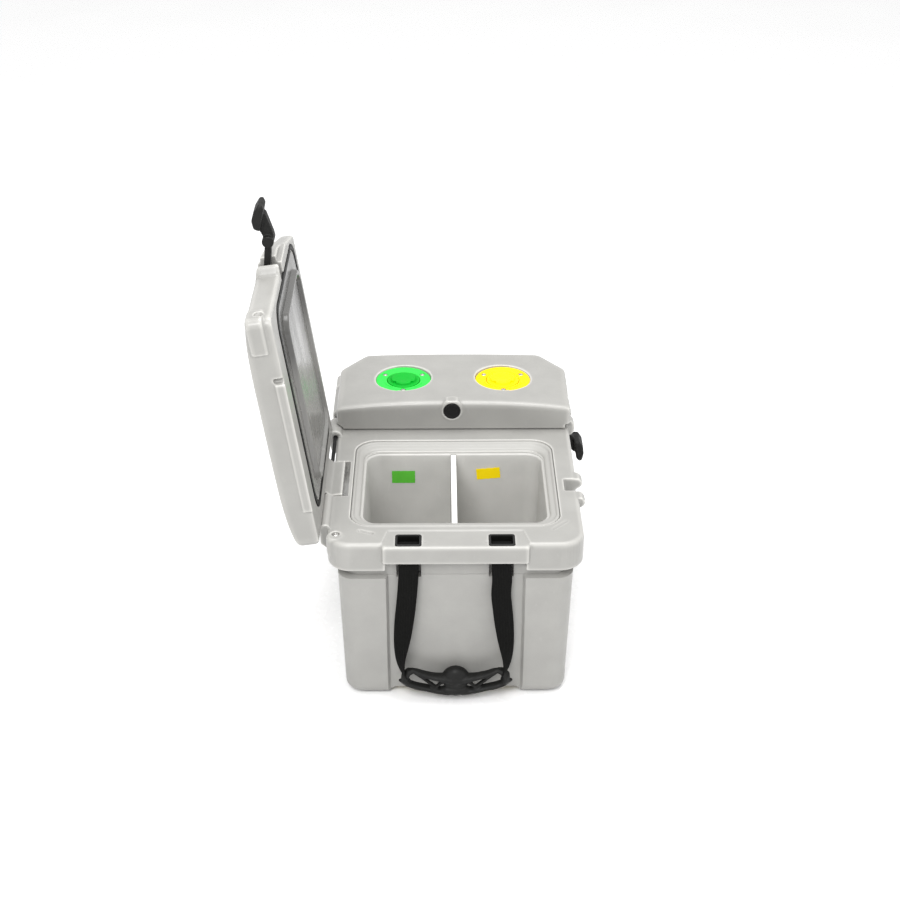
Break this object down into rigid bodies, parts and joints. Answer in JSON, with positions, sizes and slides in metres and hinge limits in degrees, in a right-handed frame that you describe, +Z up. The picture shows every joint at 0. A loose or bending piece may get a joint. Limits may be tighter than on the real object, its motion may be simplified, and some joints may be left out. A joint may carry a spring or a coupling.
{
  "type": "two-lid wash station",
  "caption": "Insulated moulded box on its base with two hinged lids, divided wash tanks, round coloured hatches, rubber T-latches and webbing carry handles.",
  "frame": {"origin": "centre of the base's underside, on the surface that it stands on", "axes": "+Z up, -Y towards the end with the divided tanks, +X towards the latches; the hinges are on the -X side"},
  "size_m": [0.5469, 0.612, 0.8084],
  "materials": {
    "shell": "satin",
    "foam": "matte",
    "tank": "satin",
    "lid_panel": "satin",
    "divider": "satin",
    "green_label": "satin",
    "yellow_label": "satin",
    "webbing": "matte",
    "black_plastic": "satin",
    "rubber": "matte",
    "seal_rubber": "matte",
    "hinge_pin": "satin",
    "steel": "satin",
    "green_plastic": "satin",
    "yellow_plastic": "satin"
  },
  "bodies": {
    "base": {"base_shell": "shell", "hinge_rail": "shell", "front_keeper": "shell", "rear_keeper": "shell", "base_foam": "foam", "front_tub": "tank", "rear_tub": "tank", "green_label": "green_label", "yellow_label": "yellow_label", "front_left_foot": "seal_rubber", "front_right_foot": "seal_rubber", "rear_left_foot": "seal_rubber", "rear_right_foot": "seal_rubber", "front_left_slot_insert": "black_plastic", "front_left_strap_anchor": "webbing", "front_right_slot_insert": "black_plastic", "front_right_strap_anchor": "webbing", "rear_left_slot_insert": "black_plastic", "rear_left_strap_anchor": "webbing", "rear_right_slot_insert": "black_plastic", "rear_right_strap_anchor": "webbing", "front_hinge_pin": "hinge_pin", "rear_hinge_pin": "hinge_pin", "front_hinge_screw": "steel", "rear_hinge_screw": "steel"},
    "divider": {"tank_divider": "divider"},
    "front_handle": {"front_left_strap": "webbing", "front_right_strap": "webbing", "front_grip": "rubber"},
    "rear_handle": {"rear_left_strap": "webbing", "rear_right_strap": "webbing", "rear_grip": "rubber"},
    "drain_washer": {"drain_seal": "seal_rubber"},
    "drain": {"drain_plug": "black_plastic"},
    "front_lid": {"front_lid_shell": "shell", "front_lid_foam": "foam", "front_lid_panel": "lid_panel", "front_lid_gasket": "seal_rubber", "front_lid_screw": "steel", "front_latch_pin": "steel"},
    "front_latch": {"front_latch": "rubber"},
    "rear_lid": {"rear_lid_shell": "shell", "rear_lid_foam": "foam", "rear_lid_panel": "lid_panel", "rear_lid_gasket": "seal_rubber", "rear_latch_pin": "steel", "green_hatch_flange": "green_plastic", "yellow_hatch_flange": "yellow_plastic", "rear_lid_plug": "seal_rubber", "green_hatch_screw_1": "steel", "green_hatch_screw_2": "steel", "green_hatch_screw_3": "steel", "yellow_hatch_screw_1": "steel", "yellow_hatch_screw_2": "steel", "yellow_hatch_screw_3": "steel"},
    "rear_latch": {"rear_latch": "rubber"},
    "green_seal": {"green_hatch_seal": "seal_rubber"},
    "green_cap": {"green_hatch_cap": "green_plastic"},
    "yellow_seal": {"yellow_hatch_seal": "seal_rubber"},
    "yellow_cap": {"yellow_hatch_cap": "yellow_plastic"}
  },
  "joints": [
    {"name": "front_lid_hinge", "type": "hinge", "parent": "base", "child": "front_lid", "pos_m": [-0.209, -0.0855, 0.303], "axis": [0, -1, 0], "range_deg": [-98, 0]},
    {"name": "front_latch_pivot", "type": "hinge", "parent": "front_lid", "child": "front_latch", "pos_m": [-0.29043, -0.108, 0.68842], "axis": [0, -1, 0], "range_deg": [-61, 20]},
    {"name": "rear_lid_hinge", "type": "hinge", "parent": "base", "child": "rear_lid", "pos_m": [-0.209, 0.177, 0.303], "axis": [0, -1, 0], "range_deg": [0, 98]},
    {"name": "rear_latch_pivot", "type": "hinge", "parent": "rear_lid", "child": "rear_latch", "pos_m": [0.184, 0.136, 0.33], "axis": [0, -1, 0], "range_deg": [0, 88]},
    {"name": "front_handle_swing", "type": "hinge", "parent": "base", "child": "front_handle", "pos_m": [0, -0.287, 0.258], "axis": [-1, 0, 0], "range_deg": [0, 105]},
    {"name": "rear_handle_swing", "type": "hinge", "parent": "base", "child": "rear_handle", "pos_m": [0, 0.287, 0.258], "axis": [1, 0, 0], "range_deg": [0, 105]},
    {"name": "divider_lift", "type": "slide", "parent": "base", "child": "divider", "axis": [0, 0, 1], "range_m": [0, 0.262]},
    {"name": "drain_unscrew", "type": "slide", "parent": "base", "child": "drain_washer", "axis": [0, 1, 0], "range_m": [0, 0.018]},
    {"name": "drain_turn", "type": "hinge", "parent": "drain_washer", "child": "drain", "pos_m": [0.14, 0.28, 0.036], "axis": [0, 1, 0], "range_deg": [-2160.01, 0]},
    {"name": "green_cap_lift", "type": "slide", "parent": "rear_lid", "child": "green_seal", "axis": [0, 0, 1], "range_m": [0, 0.05]},
    {"name": "green_cap_turn", "type": "hinge", "parent": "green_seal", "child": "green_cap", "pos_m": [-0.09, 0.181, 0.35], "axis": [0, 0, 1], "range_deg": [0, 90]},
    {"name": "yellow_cap_lift", "type": "slide", "parent": "rear_lid", "child": "yellow_seal", "axis": [0, 0, 1], "range_m": [0, 0.05]},
    {"name": "yellow_cap_turn", "type": "hinge", "parent": "yellow_seal", "child": "yellow_cap", "pos_m": [0.09, 0.181, 0.35], "axis": [0, 0, 1], "range_deg": [0, 90]}
  ],
  "couplings": [
    {"joint": "drain_turn", "follows": "drain_unscrew", "rad_per_m": -2094.4}
  ]
}
